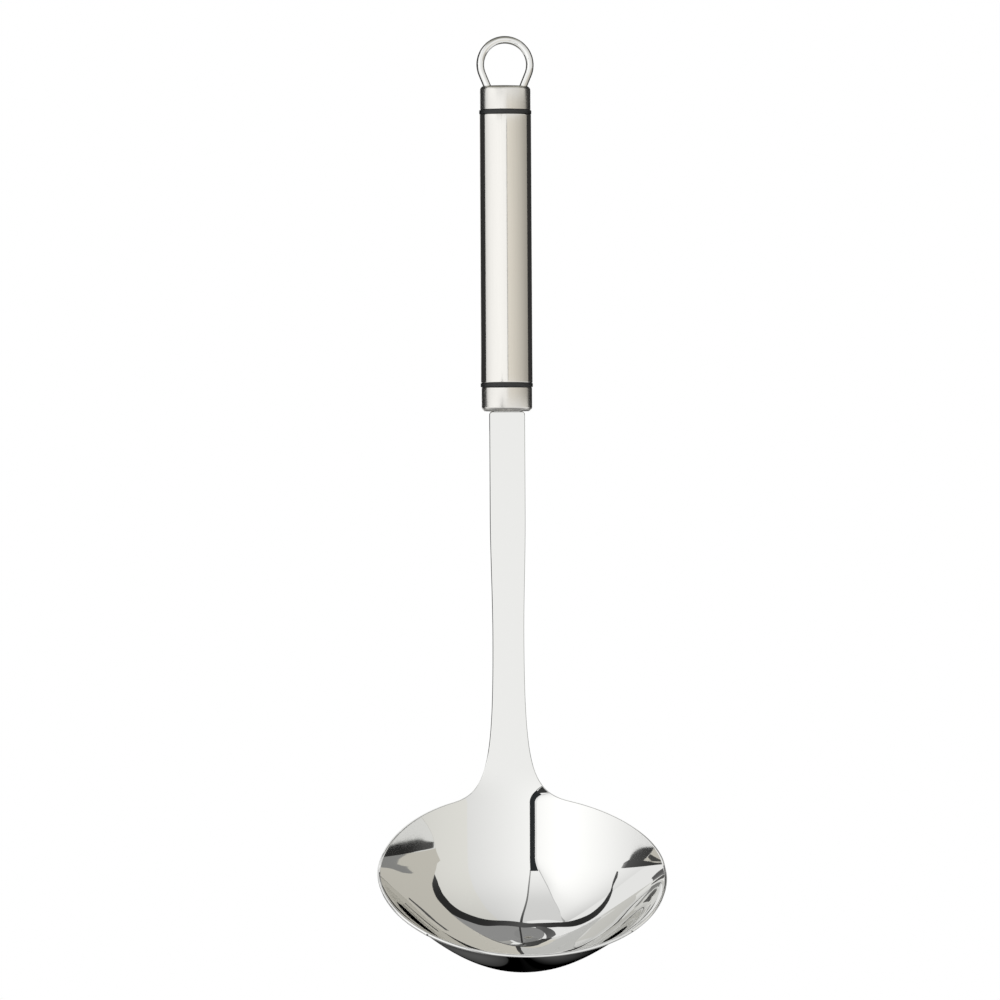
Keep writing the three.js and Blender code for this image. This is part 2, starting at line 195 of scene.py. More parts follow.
@dataclass(frozen=True)
class SatinSteel:
    """Stainless steel with a fine satin brush along the handle. Sizes in millimetres.

    Rougher values and no depth give the bead-blasted caps: a broad soft sheen without lines.
    """

    name: str = "stainless_steel_satin_brushed"
    light: str = "#E2E0DC"
    dark: str = "#D8D6D1"
    finest: float = 0.08
    coarsest: float = 0.12
    line_width: float = 0.15
    line_length: float = 30.0
    line_depth: float = 0.00005

    def material(self) -> bpy.types.Material:
        """Makes the finish: soft reflections with faint lines, drawn wide enough to show.

        Returns:
            The node material.
        """
        material, tree = new_material(self.name)
        place = add_node(tree, "ShaderNodeTexCoord", {}).outputs["Object"]
        across = 1 / (self.line_width * MM)
        stretched = add_node(tree, "ShaderNodeMapping", {
            "Vector": place, "Scale": (across, across, 1 / (self.line_length * MM)),
        })
        lines = add_node(tree, "ShaderNodeTexNoise", {
            "Vector": stretched.outputs["Vector"], "Scale": 1.0, "Detail": 3.0, "Roughness": 0.6,
        })
        colour = add_node(tree, "ShaderNodeMix", {
            "Factor": lines.outputs["Fac"], "A": linear(self.dark), "B": linear(self.light),
        }, data_type="RGBA")
        roughness = add_node(tree, "ShaderNodeMapRange", {
            "Value": lines.outputs["Fac"], "From Min": NOISE_LOW, "From Max": NOISE_HIGH,
            "To Min": self.finest, "To Max": self.coarsest,
        })
        bump = add_node(tree, "ShaderNodeBump", {
            "Height": lines.outputs["Fac"], "Distance": self.line_depth * MM, "Strength": 1.0,
        })
        shader = add_node(tree, "ShaderNodeBsdfPrincipled", {
            "Base Color": colour.outputs["Result"], "Metallic": 1.0,
            "Roughness": roughness.outputs["Result"], "Normal": bump.outputs["Normal"],
        })
        add_node(tree, "ShaderNodeOutputMaterial", {"Surface": shader.outputs["BSDF"]})
        return material


@dataclass(frozen=True)
class BlackRubber:
    """Moulded black rubber. Sizes in millimetres."""

    colour: str = "#141516"
    dusted: str = "#1F2020"
    roughness: float = 0.5
    ior: float = 1.52
    grain_size: float = 0.35
    grain_height: float = 0.01
    dust_size: float = 4.0

    def material(self) -> bpy.types.Material:
        """Makes the finish: matt black with a fine mould grain and a trace of dust.

        Returns:
            The node material.
        """
        material, tree = new_material("rubber_moulded_black")
        place = add_node(tree, "ShaderNodeTexCoord", {}).outputs["Object"]
        dust = add_node(tree, "ShaderNodeTexNoise", {
            "Vector": place, "Scale": 1 / (self.dust_size * MM), "Detail": 4.0,
        })
        colour = add_node(tree, "ShaderNodeMix", {
            "Factor": dust.outputs["Fac"], "A": linear(self.colour), "B": linear(self.dusted),
        }, data_type="RGBA")
        grain = add_node(tree, "ShaderNodeTexNoise", {
            "Vector": place, "Scale": 1 / (self.grain_size * MM), "Detail": 2.0,
        })
        bump = add_node(tree, "ShaderNodeBump", {
            "Height": grain.outputs["Fac"], "Distance": self.grain_height * MM, "Strength": 1.0,
        })
        shader = add_node(tree, "ShaderNodeBsdfPrincipled", {
            "Base Color": colour.outputs["Result"], "Roughness": self.roughness,
            "IOR": self.ior, "Normal": bump.outputs["Normal"],
        })
        add_node(tree, "ShaderNodeOutputMaterial", {"Surface": shader.outputs["BSDF"]})
        return material


@dataclass(frozen=True)
class GreyNylon:
    """Moulded grey nylon, hidden inside the handle. Sizes in millimetres."""

    colour: str = "#6F7274"
    mottled: str = "#7C8082"
    roughness: float = 0.55
    ior: float = 1.53
    mottle_size: float = 2.5

    def material(self) -> bpy.types.Material:
        """Makes the finish: dull grey plastic with a slight mottle.

        Returns:
            The node material.
        """
        material, tree = new_material("nylon_moulded_grey")
        place = add_node(tree, "ShaderNodeTexCoord", {}).outputs["Object"]
        mottle = add_node(tree, "ShaderNodeTexNoise", {
            "Vector": place, "Scale": 1 / (self.mottle_size * MM), "Detail": 4.0,
        })
        colour = add_node(tree, "ShaderNodeMix", {
            "Factor": mottle.outputs["Fac"], "A": linear(self.colour), "B": linear(self.mottled),
        }, data_type="RGBA")
        shader = add_node(tree, "ShaderNodeBsdfPrincipled", {
            "Base Color": colour.outputs["Result"], "Roughness": self.roughness, "IOR": self.ior,
        })
        add_node(tree, "ShaderNodeOutputMaterial", {"Surface": shader.outputs["BSDF"]})
        return material


def smoothstep(value: float, low: float, high: float) -> float:
    """Eases from 0 at low to 1 at high."""
    share = min(max((value - low) / (high - low), 0.0), 1.0)
    return share * share * (3 - 2 * share)


def lerp(start: float, end: float, share: float) -> float:
    """Goes in a straight line from start to end."""
    return start + (end - start) * share


def spread(values: Sequence[float], share: float) -> float:
    """Goes smoothly through evenly spaced values, from the first at 0 to the last at 1.

    Args:
        values: two or more values.
        share: how far to go, from 0 to 1.

    Returns:
        The value there.
    """
    last = len(values) - 1
    start = min(int(share * last), last - 1)
    t = share * last - start
    a, b, c, d = (values[min(max(start + step, 0), last)] for step in (-1, 0, 1, 2))
    return b + t * ((c - a) + t * ((2 * a - 5 * b + 4 * c - d) + t * (3 * b - a - 3 * c + d))) / 2


def begin_editing() -> None:
    """Opens the active piece in edit mode with all of it selected."""
    bpy.ops.object.mode_set(mode="EDIT")
    bpy.ops.mesh.select_all(action="SELECT")


def end_editing() -> None:
    """Goes back to object mode."""
    bpy.ops.object.mode_set(mode="OBJECT")


def close_up() -> None:
    """Welds the open piece, plates its open ends, points its faces out and goes back to object mode."""
    bpy.ops.mesh.select_all(action="SELECT")
    bpy.ops.mesh.remove_doubles(threshold=WELD * MM)
    bpy.ops.mesh.fill_holes(sides=0)
    bpy.ops.mesh.normals_make_consistent(inside=False)
    end_editing()


def apply_modifier(piece: bpy.types.Object, kind: str, **settings: Any) -> None:
    """Adds a modifier to a piece and applies it.

    Args:
        piece: the object to change.
        kind: Blender's name of the modifier type.
        **settings: attributes of the modifier.
    """
    bpy.context.view_layer.objects.active = piece
    modifier = piece.modifiers.new(kind.lower(), kind)
    for name, value in settings.items():
        setattr(modifier, name, value)
    bpy.ops.object.modifier_apply(modifier=modifier.name)


def join_solids(piece: bpy.types.Object, other: bpy.types.Object, how: Join) -> None:
    """Cuts another solid out of a piece or fuses it on, and deletes the other solid."""
    apply_modifier(piece, "BOOLEAN", object=other, operation=how.value, solver="EXACT")
    bpy.data.objects.remove(other)


def smooth_shading(piece: bpy.types.Object, crease_degrees: float) -> None:
    """Shades a piece smooth and keeps its creases.

    Args:
        piece: the object to shade.
        crease_degrees: faces that meet at a wider angle than this keep their crease.
    """
    bpy.ops.object.select_all(action="DESELECT")
    piece.select_set(True)
    bpy.context.view_layer.objects.active = piece
    bpy.ops.object.shade_smooth_by_angle(angle=math.radians(crease_degrees))


def hide_from(thing: bpy.types.Object, *rays: Ray) -> None:
    """Keeps kinds of ray from seeing a studio object."""
    for ray in rays:
        setattr(thing, ray.value, False)


def hand_over(piece: bpy.types.Object, node: str, material: bpy.types.Material) -> None:
    """Dresses a finished piece and gives it to the frame in place of its CAD node.

    Args:
        piece: the finished object.
        node: the CAD node that the piece stands for.
        material: its finish.
    """
    piece.name = node + "_shown"
    piece.data.materials.clear()
    piece.data.materials.append(material)
    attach(piece, BODY)
    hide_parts(node)
    log.info("%s: %d faces, %s", piece.name, len(piece.data.polygons), material.name)


@dataclass(frozen=True)
class Oval:
    """Oval section of the handle, in millimetres."""

    width: float
    depth: float
    sides: int = 96

    def half_axes(self, inset: float) -> tuple[float, float]:
        """Half width and half depth in metres, inset from the outer face."""
        return (self.width / 2 - inset) * MM, (self.depth / 2 - inset) * MM

    def sweep(self, profile: Sequence[tuple[float, float]]) -> bpy.types.Object:
        """Models a body by extruding an oval loop from level to level.

        Args:
            profile: insets from the outer face, each with its level, in millimetres. A profile that ends
                where it starts makes a ring, and any other one gets a flat plate on both ends.

        Returns:
            The new object, with its faces pointing out.
        """
        bpy.ops.object.select_all(action="DESELECT")
        bpy.ops.mesh.primitive_circle_add(vertices=self.sides, radius=1.0)
        piece = bpy.context.object
        begin_editing()
        width, depth = self.half_axes(profile[0][0])
        level = profile[0][1] * MM
        bpy.ops.transform.resize(value=(width, depth, 1.0), center_override=(0.0, 0.0, 0.0))
        bpy.ops.transform.translate(value=(0.0, 0.0, level))
        for inset, next_level in profile[1:]:
            rise = next_level * MM - level
            bpy.ops.mesh.extrude_region_move(TRANSFORM_OT_translate={"value": (0.0, 0.0, rise)})
            next_width, next_depth = self.half_axes(inset)
            level += rise
            bpy.ops.transform.resize(
                value=(next_width / width, next_depth / depth, 1.0), center_override=(0.0, 0.0, level))
            width, depth = next_width, next_depth
        close_up()
        return piece


def quarter_round(radius: float, inset: float, level: float, steps: int) -> list[tuple[float, float]]:
    """Profile points from an upright wall to a flat plate above it.

    Args:
        radius: of the round.
        inset: of the wall.
        level: where the wall ends and the round starts.
        steps: how many flats the round is made of.

    Returns:
        Insets with their levels.
    """
    angles = [step / steps * math.pi / 2 for step in range(steps + 1)]
    return [(inset + radius * (1 - math.cos(a)), level + radius * math.sin(a)) for a in angles]


@dataclass
class HandleGrip:
    """Oval tube, two drawn caps and two rubber rings. Sizes in millimetres."""

    satin: bpy.types.Material
    matt: bpy.types.Material
    rubber: bpy.types.Material
    wall: float = 0.8
    edge_round: float = 0.45
    cap_step: float = 0.2
    cap_corner: float = 1.6
    plate_margin: float = 0.25
    ring_proud: float = 0.1
    wire_hole: float = 3.2
    slot_width: float = 10.4
    slot_depth: float = 2.4
    punch_depth: float = 4.8
    drill_sides: int = 48
    ring_fullness: float = 0.6
    ring_steps: int = 16
    round_steps: int = 8
    crease: float = 40.0
    oval: Oval = field(init=False)

    def __post_init__(self) -> None:
        """Takes the oval section from the tube's node."""
        low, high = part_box("handle_tube")
        self.oval = Oval((high.x - low.x) / MM, (high.y - low.y) / MM)

    @staticmethod
    def span(node: str) -> tuple[float, float]:
        """Lowest and highest level of a node, in millimetres."""
        low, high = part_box(node)
        return low.z / MM, high.z / MM

    def build_tube(self) -> None:
        """Models the grip: a straight wall with a rounded edge at both ends."""
        bottom, top = self.span("handle_tube")
        upper = quarter_round(self.edge_round, 0.0, top - self.edge_round, self.round_steps)
        lower = [(inset, bottom + top - level) for inset, level in reversed(upper)]
        inside = [(self.wall, top), (self.wall, bottom)]
        tube = self.oval.sweep(lower + upper + inside + lower[:1])
        smooth_shading(tube, self.crease)
        hand_over(tube, "handle_tube", self.satin)

    def cup(self, open_end: float, plate: float) -> bpy.types.Object:
        """Models a drawn cup with a rounded plate.

        Args:
            open_end: level of the cup's open edge.
            plate: level of its plate's outer face.

        Returns:
            The cup as one closed object.
        """
        way = 1 if plate > open_end else -1
        height = abs(plate - open_end)
        wall = self.wall - self.cap_step
        inside = quarter_round(self.cap_corner - wall, self.wall, height - self.cap_corner, self.round_steps)
        edge = quarter_round(self.edge_round, self.cap_step, -self.edge_round, self.round_steps)
        outside = quarter_round(self.cap_corner, self.cap_step, height - self.cap_corner, self.round_steps)
        profile = [(self.cap_step + self.cap_corner + self.plate_margin, height - wall)]
        profile += list(reversed(inside))
        profile += [(self.wall, 0.0)]
        profile += [(inset, -level) for inset, level in reversed(edge)]
        profile += outside
        profile += [(self.cap_step + self.cap_corner + self.plate_margin, height)]
        return self.oval.sweep([(inset, open_end + way * level) for inset, level in profile])

    def build_caps(self, leg_places: Sequence[Matrix]) -> None:
        """Models both caps: the upper with two wire holes, the lower with a slot for the tang.

        Args:
            leg_places: for each leg of the loop, where its hole is and how it leans.
        """
        bottom, top = self.span("upper_cap")
        upper = self.cup(bottom, top)
        for place in leg_places:
            bpy.ops.mesh.primitive_cylinder_add(
                vertices=self.drill_sides, radius=self.wire_hole / 2 * MM, depth=self.punch_depth * MM)
            drill = bpy.context.object
            drill.matrix_world = place
            join_solids(upper, drill, Join.CUT)
        smooth_shading(upper, self.crease)
        hand_over(upper, "upper_cap", self.matt)

        bottom, top = self.span("lower_cap")
        lower = self.cup(top, bottom)
        bpy.ops.mesh.primitive_cube_add(size=1.0, location=(0.0, 0.0, bottom * MM))
        punch = bpy.context.object
        punch.scale = (self.slot_width * MM, self.slot_depth * MM, self.punch_depth * MM)
        bpy.context.view_layer.update()
        join_solids(lower, punch, Join.CUT)
        smooth_shading(lower, self.crease)
        hand_over(lower, "lower_cap", self.matt)

    def build_rings(self) -> None:
        """Models both rubber rings, with a rounded outer face that stands a little proud."""
        for node in ("upper_ring", "lower_ring"):
            bottom, top = self.span(node)
            middle = (bottom + top) / 2
            half = (top - bottom) / 2
            profile = []
            for step in range(self.ring_steps + 1):
                angle = lerp(-math.pi / 2, math.pi / 2, step / self.ring_steps)
                proud = self.ring_proud * math.cos(angle) ** self.ring_fullness
                profile.append((-proud, middle + half * math.sin(angle)))
            ring = self.oval.sweep(profile + [(self.wall, top), (self.wall, bottom), profile[0]])
            smooth_shading(ring, self.crease)
            hand_over(ring, node, self.rubber)


@dataclass
class HangingLoop:
    """Bent wire with a round top and two legs that lean in. Sizes in millimetres."""

    polished: bpy.types.Material
    wire: float = 2.8
    loop_radius: float = 9.0
    lean_degrees: float = 22.5
    lean_depth: float = 4.0
    bend_radius: float = 4.0
    leg_length: float = 11.0
    wire_sides: int = 32
    loop_steps: int = 96
    bend_steps: int = 12
    crease: float = 40.0
    cap_top: float = field(init=False)
    centre: float = field(init=False)

    def __post_init__(self) -> None:
        """Takes the cap's level from the frame. The loop's inside top is the origin."""
        self.cap_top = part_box("upper_cap")[1].z / MM
        self.centre = self.wire / 2 - self.loop_radius

    def corners(self) -> dict[str, tuple[float, float]]:
        """Finds the corners of the right leg's centre line.

        Returns:
            Each corner's x and level, by name, from the loop down to the leg's end.
        """
        lean = math.radians(self.lean_degrees)
        tangent_x = self.loop_radius * math.cos(lean)
        tangent_z = self.centre - self.loop_radius * math.sin(lean)
        bend_z = self.cap_top - self.lean_depth
        bend_x = tangent_x - (tangent_z - bend_z) * math.tan(lean)
        leg_x = bend_x - self.bend_radius * (1 - math.cos(lean))
        leg_z = bend_z - self.bend_radius * math.sin(lean)
        return {
            "tangent": (tangent_x, tangent_z),
            "bend": (bend_x, bend_z),
            "leg": (leg_x, leg_z),
            "end": (leg_x, leg_z - self.leg_length),
        }

    def leg_places(self) -> list[Matrix]:
        """Finds where the legs go through the cap's plate.

        Returns:
            For each leg, its place there and how it leans.
        """
        lean = math.radians(self.lean_degrees)
        tangent_x, tangent_z = self.corners()["tangent"]
        hole_x = tangent_x - (tangent_z - self.cap_top) * math.tan(lean)
        places = []
        for side in (-1, 1):
            spot = Matrix.Translation((side * hole_x * MM, 0.0, self.cap_top * MM))
            places.append(spot @ Matrix.Rotation(side * lean, 4, "Y"))
        return places

    def build(self) -> None:
        """Bends the wire: a round section is pushed up one leg, round the loop and down the other."""
        lean = math.radians(self.lean_degrees)
        spots = self.corners()
        leg_x, leg_z = spots["leg"]
        end_z = spots["end"][1]
        slope = (spots["tangent"][0] - spots["bend"][0], spots["tangent"][1] - spots["bend"][1])
        bend_x = leg_x + self.bend_radius
        bpy.ops.object.select_all(action="DESELECT")
        bpy.ops.mesh.primitive_circle_add(vertices=self.wire_sides, radius=self.wire / 2 * MM)
        loop = bpy.context.object
        begin_editing()
        bpy.ops.transform.translate(value=(-leg_x * MM, 0.0, end_z * MM))
        self.push(0.0, leg_z - end_z)
        self.bend(-bend_x, leg_z, -lean, self.bend_steps)
        self.push(-slope[0], slope[1])
        self.bend(0.0, self.centre, math.pi + 2 * lean, self.loop_steps)
        self.push(-slope[0], -slope[1])
        self.bend(bend_x, leg_z, -lean, self.bend_steps)
        self.push(0.0, end_z - leg_z)
        close_up()
        smooth_shading(loop, self.crease)
        hand_over(loop, "hanging_loop", self.polished)

    @staticmethod
    def push(across: float, up: float) -> None:
        """Extrudes the wire's end in a straight line."""
        bpy.ops.mesh.extrude_region_move(TRANSFORM_OT_translate={"value": (across * MM, 0.0, up * MM)})

    @staticmethod
    def bend(centre_x: float, centre_z: float, angle: float, steps: int) -> None:
        """Spins the wire's end clockwise about a centre in the loop's own plane, seen from the front."""
        bpy.ops.mesh.spin(
            steps=steps, angle=angle, center=(centre_x * MM, 0.0, centre_z * MM), axis=(0.0, -1.0, 0.0))


@dataclass
class PressedHead:
    """Bowl, neck, shank and tang, pressed from one sheet. Sizes in millimetres."""

    polished: bpy.types.Material
    fit_gap: float = 0.3
    shank_width: float = 12.3
    shank_thickness: float = 2.2
    shank_length: float = 128.3
    shoulder_radius: float = 0.9
    waist_width: float = 10.85
    waist_rise: float = 47.8
    taper_length: float = 43.5
    tang_width: float = 9.8
    tang_thickness: float = 1.8
    tang_length: float = 25.0
    tang_root: float = 2.7
    tang_round: float = 0.3
    tang_round_steps: int = 3
    bowl_width: float = 101.3
    bowl_length: float = 71.2
    bowl_depth: float = 31.7
    bowl_wall: float = 1.2
    rim_tilt: float = 47.5
    flare_join: float = 12.0
    flare_slimness: float = 0.8
    flare_rim_pull: float = 14.0
    curl_rise: float = 1.5
    dish_blend: float = 8.0
    edge_swell: float = 0.35
    columns: int = 96
    shoulder_rows: int = 8
    strip_rows: int = 24
    flare_rows: int = 48
    back_rows: int = 40
    front_rows: int = 44
    edge_cuts: int = 7
    rim_nudge: float = 0.001
    crease: float = 60.0
    shoulder: float = field(init=False)
    tilt: float = field(init=False)
    half_width: float = field(init=False)
    half_length: float = field(init=False)
    arc_radius: float = field(init=False)
    arc_to_rim: float = field(init=False)
    strip_front: float = field(init=False)
    tangent: float = field(init=False)
    tangent_angle: float = field(init=False)
    rim_back: float = field(init=False)
    join: float = field(init=False)
    curl: float = field(init=False)
    waist: float = field(init=False)
    taper: float = field(init=False)

    def __post_init__(self) -> None:
        """Takes the shoulder's level from the lower cap, and works out the bowl's arc."""
        self.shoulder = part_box("lower_cap")[0].z / MM - self.fit_gap
        self.tilt = math.radians(self.rim_tilt)
        self.half_width = self.bowl_width / 2
        self.half_length = self.bowl_length / 2
        self.arc_radius = (self.half_length**2 + self.bowl_depth**2) / (2 * self.bowl_depth)
        self.arc_to_rim = self.arc_radius - self.bowl_depth
        self.strip_front = -self.shank_thickness / 2
        drop = self.arc_to_rim - self.arc_radius * math.sin(self.tilt)
        self.tangent = drop / math.cos(self.tilt) - self.shank_length
        self.tangent_angle = self.tilt - math.pi / 2
        self.rim_back = self.tangent + self.shank_length
        self.join = self.rim_back + self.flare_join
        self.curl = self.rim_back - self.curl_rise
        self.waist = self.rim_back - self.waist_rise
        self.taper = self.waist - self.taper_length

    def arc_angle(self, distance: float) -> float:
        """Angle on the bowl's arc, from its deepest point towards the lip."""
        return self.tangent_angle + distance / self.arc_radius

    def inner_point(self, x: float, distance: float) -> Vector:
        """Bends a place of the flat blank to the pressed shape.

        Args:
            x: distance from the centre line.
            distance: how far down the centre line, from where the strip turns into the bowl's arc.

        Returns:
            The place on the sheet's front face, in metres.
        """
        turn = max(distance, 0.0) / self.arc_radius
        inward_y = -math.cos(turn)
        inward_z = math.sin(turn)
        y = self.strip_front - self.arc_radius * (1 + inward_y)
        z = self.shoulder + self.tangent - self.arc_radius * inward_z - min(distance, 0.0)
        aspect = (self.half_length / self.half_width) ** 2
        past_tangent = (distance + math.hypot(distance, self.dish_blend)) / 2
        full = aspect / (self.arc_radius + self.arc_to_rim / math.cos(self.arc_angle(past_tangent)))
        rise = full * smoothstep(distance, self.curl, self.join) * x * x
        return Vector((x, y + inward_y * rise, z + inward_z * rise)) * MM

    def thickness(self, distance: float) -> float:
        """Thickness of the sheet, which the press draws thinner towards the bowl."""
        return lerp(self.shank_thickness, self.bowl_wall, smoothstep(distance, self.waist, self.join))

    def reach_distance(self, reach: float) -> float:
        """Finds how far down the centre line a place in the rim's plane is.

        Args:
            reach: how far the place is from the rim's middle, towards the lip.

        Returns:
            The distance from where the strip turns into the bowl's arc.
        """
        beyond = reach - self.arc_to_rim * math.tan(self.tangent_angle)
        if beyond < 0:
            return beyond * math.sin(self.tilt)
        return self.arc_radius * (math.atan(reach / self.arc_to_rim) - self.tangent_angle)

    def straight_rows(self) -> list[tuple[float, float]]:
        """Lays out the blank's rows from the shoulder to the bowl's widest place.

        Returns:
            Half widths, each with its distance down the centre line.
        """
        half = self.shank_width / 2
        rows = []
        for step in range(self.shoulder_rows):
            angle = step / self.shoulder_rows * math.pi / 2
            rows.append((
                half - self.shoulder_radius * (1 - math.sin(angle)),
                self.tangent + self.shoulder_radius * (1 - math.cos(angle)),
            ))
        strip_start = self.tangent + self.shoulder_radius
        for step in range(self.strip_rows):
            distance = lerp(strip_start, self.waist, step / self.strip_rows)
            taper = smoothstep(distance, self.taper, self.waist)
            rows.append((lerp(half, self.waist_width / 2, taper), distance))
        on_arc = self.arc_to_rim * math.tan(self.arc_angle(max(self.join, 0.0)))
        on_strip = min(self.join, 0.0) / math.sin(self.tilt)
        join_angle = math.acos(-(on_arc + on_strip) / self.half_length)
        join = self.rim_point(join_angle)
        beside = self.rim_point(join_angle + self.rim_nudge)
        run = (beside - join).normalized() * self.flare_rim_pull
        start = Vector((self.waist_width / 2, self.waist))
        first = Vector((start.x, lerp(start.y, join.y, self.flare_slimness)))
        second = join - run
        for step in range(self.flare_rows):
            t = step / self.flare_rows
            u = 1 - t
            place = start * u**3 + first * (3 * u * u * t) + second * (3 * u * t * t) + join * t**3
            rows.append((place.x, place.y))
        for step in range(self.back_rows + 1):
            place = self.rim_point(lerp(join_angle, math.pi / 2, step / self.back_rows))
            rows.append((place.x, place.y))
        return rows

    def rim_point(self, angle: float) -> Vector:
        """Half width and distance on the rim, by the angle round it from its back point."""
        reach = -self.half_length * math.cos(angle)
        return Vector((self.half_width * math.sin(angle), self.reach_distance(reach)))

    def blank_place(
        self, rows: Sequence[tuple[float, float]], row: int, across: float,
    ) -> tuple[float, float]:
        """Place on the blank of one crossing of its rows and columns.

        Args:
            rows: the straight rows.
            row: number of the row, from the shoulder down.
            across: place in the row, from -1 at the left edge to 1 at the right.

        Returns:
            The distance from the centre line, and the distance down it.
        """
        u = math.sin(across * math.pi / 2)
        if row < len(rows):
            half, distance = rows[row]
            return half * u, distance
        v = math.sin((row + 1 - len(rows)) / self.front_rows * math.pi / 2)
        reach = self.half_length * v * math.sqrt(1 - u * u / 2)
        return self.half_width * u * math.sqrt(1 - v * v / 2), self.reach_distance(reach)

    def press_blank(self) -> bpy.types.Object:
        """Lays out the flat blank as a grid and bends it to the shape of the ladle's front face.

        Returns:
            The front face as one sheet, with the vertex group gauge for its thickness.
        """
        rows = self.straight_rows()
        last_row = len(rows) + self.front_rows - 1
        bpy.ops.object.select_all(action="DESELECT")
        bpy.ops.mesh.primitive_grid_add(x_subdivisions=self.columns, y_subdivisions=last_row, size=2.0)
        head = bpy.context.object
        gauge = head.vertex_groups.new(name="gauge")
        for vertex in head.data.vertices:
            row = round((1 - vertex.co.y) / 2 * last_row)
            x, distance = self.blank_place(rows, row, vertex.co.x)
            vertex.co = self.inner_point(x, distance)
            gauge.add([vertex.index], self.thickness(distance) / self.shank_thickness, "REPLACE")
        return head

    def round_edge(self, head: bpy.types.Object) -> None:
        """Rolls the square edge of the thickened sheet to a round one.

        Args:
            head: the thickened sheet, with its front face's points first and its back face's after them.
        """
        mesh = head.data
        count = len(mesh.vertices) // 2
        border = self.border_loop(mesh, count)
        notes = {"through": "FLOAT", "depth": "FLOAT_VECTOR", "aside": "FLOAT_VECTOR"}
        for name, kind in notes.items():
            mesh.attributes.new(name, kind, "POINT")
        through, depth, aside = (mesh.attributes[name] for name in notes)
        for place, index in enumerate(border):
            before = mesh.vertices[border[place - 1]].co
            after = mesh.vertices[border[(place + 1) % len(border)]].co
            front = mesh.vertices[index].co
            back = mesh.vertices[index + count].co
            out = (back - front).cross(after - before).normalized() * self.edge_swell * MM
            through.data[index + count].value = 1.0
            for end in (index, index + count):
                depth.data[end].vector = back - front
                aside.data[end].vector = out
        for edge in mesh.edges:
            low, high = sorted(edge.vertices)
            edge.select = high == low + count
        for polygon in mesh.polygons:
            polygon.select = False
        for vertex in mesh.vertices:
            vertex.select = False
        for index in border:
            mesh.vertices[index].select = True
            mesh.vertices[index + count].select = True
        bpy.ops.object.mode_set(mode="EDIT")
        bpy.ops.mesh.select_mode(type="EDGE")
        bpy.ops.mesh.subdivide(number_cuts=self.edge_cuts)
        bpy.ops.mesh.select_mode(type="VERT")
        end_editing()
        mesh = head.data
        through, depth, aside = (mesh.attributes[name] for name in notes)
        for vertex in mesh.vertices[2 * count:]:
            share = through.data[vertex.index].value
            eased = (1 - math.cos(math.pi * share)) / 2
            along = Vector(depth.data[vertex.index].vector) * (eased - share)
            vertex.co += along + Vector(aside.data[vertex.index].vector) * math.sin(math.pi * share)
        for name in notes:
            mesh.attributes.remove(mesh.attributes[name])

    @staticmethod
    def border_loop(mesh: bpy.types.Mesh, count: int) -> list[int]:
        """Walks round the edge of the sheet's front face.

        Args:
            mesh: the thickened sheet, with its front face's points first and its back face's after them.
            count: how many points each face has.

        Returns:
            Numbers of the front face's edge points, in order, with the sheet on the left.
        """
        following = {}
        for polygon in mesh.polygons:
            front = [v for v in polygon.vertices if v < count]
            if len(front) == 2:
                first, second = front
                order = list(polygon.vertices)
                if order[(order.index(first) + 1) % len(order)] != second:
                    first, second = second, first
                following[second] = first
        start = next(iter(following))
        loop = [start]
        while following[loop[-1]] != start:
            loop.append(following[loop[-1]])
        return loop

    def add_tang(self, head: bpy.types.Object) -> None:
        """Joins the tang, a flat tongue that goes up into the handle, to the top of the strip.

        Args:
            head: the pressed sheet.
        """
        length = self.tang_length + self.tang_root
        middle = self.shoulder + self.tang_length - length / 2
        bpy.ops.mesh.primitive_cube_add(size=1.0)
        tang = bpy.context.object
        begin_editing()
        bpy.ops.transform.resize(value=(self.tang_width * MM, self.tang_thickness * MM, length * MM))
        bpy.ops.transform.translate(value=(0.0, 0.0, middle * MM))
        bpy.ops.mesh.bevel(offset=self.tang_round * MM, segments=self.tang_round_steps, affect="EDGES")
        end_editing()
        join_solids(head, tang, Join.FUSE)

    def build(self) -> None:
        """Presses the head, gives it its thickness, rounds its edge and adds the tang."""
        head = self.press_blank()
        apply_modifier(
            head, "SOLIDIFY", thickness=self.shank_thickness * MM, offset=-1.0, use_rim=True,
            use_quality_normals=True, vertex_group="gauge", thickness_vertex_group=0.0)
        self.round_edge(head)
        self.add_tang(head)
        smooth_shading(head, self.crease)
        hand_over(head, "bowl_and_shank", self.polished)


@dataclass
class HiddenCore:
    """Plugs and pin inside the handle, which keep their CAD shape."""

    nylon: bpy.types.Material
    satin: bpy.types.Material

    def dress(self, nodes: dict[str, bpy.types.Object]) -> None:
        """Gives each inner piece its finish.

        Args:
            nodes: the frame's objects by name.
        """
        for name, material in (
            ("upper_plug", self.nylon),
            ("lower_plug", self.nylon),
            ("tang_pin", self.satin),
        ):
            nodes[name].data.materials.clear()
            nodes[name].data.materials.append(material)
            log.info("%s: %s", name, material.name)


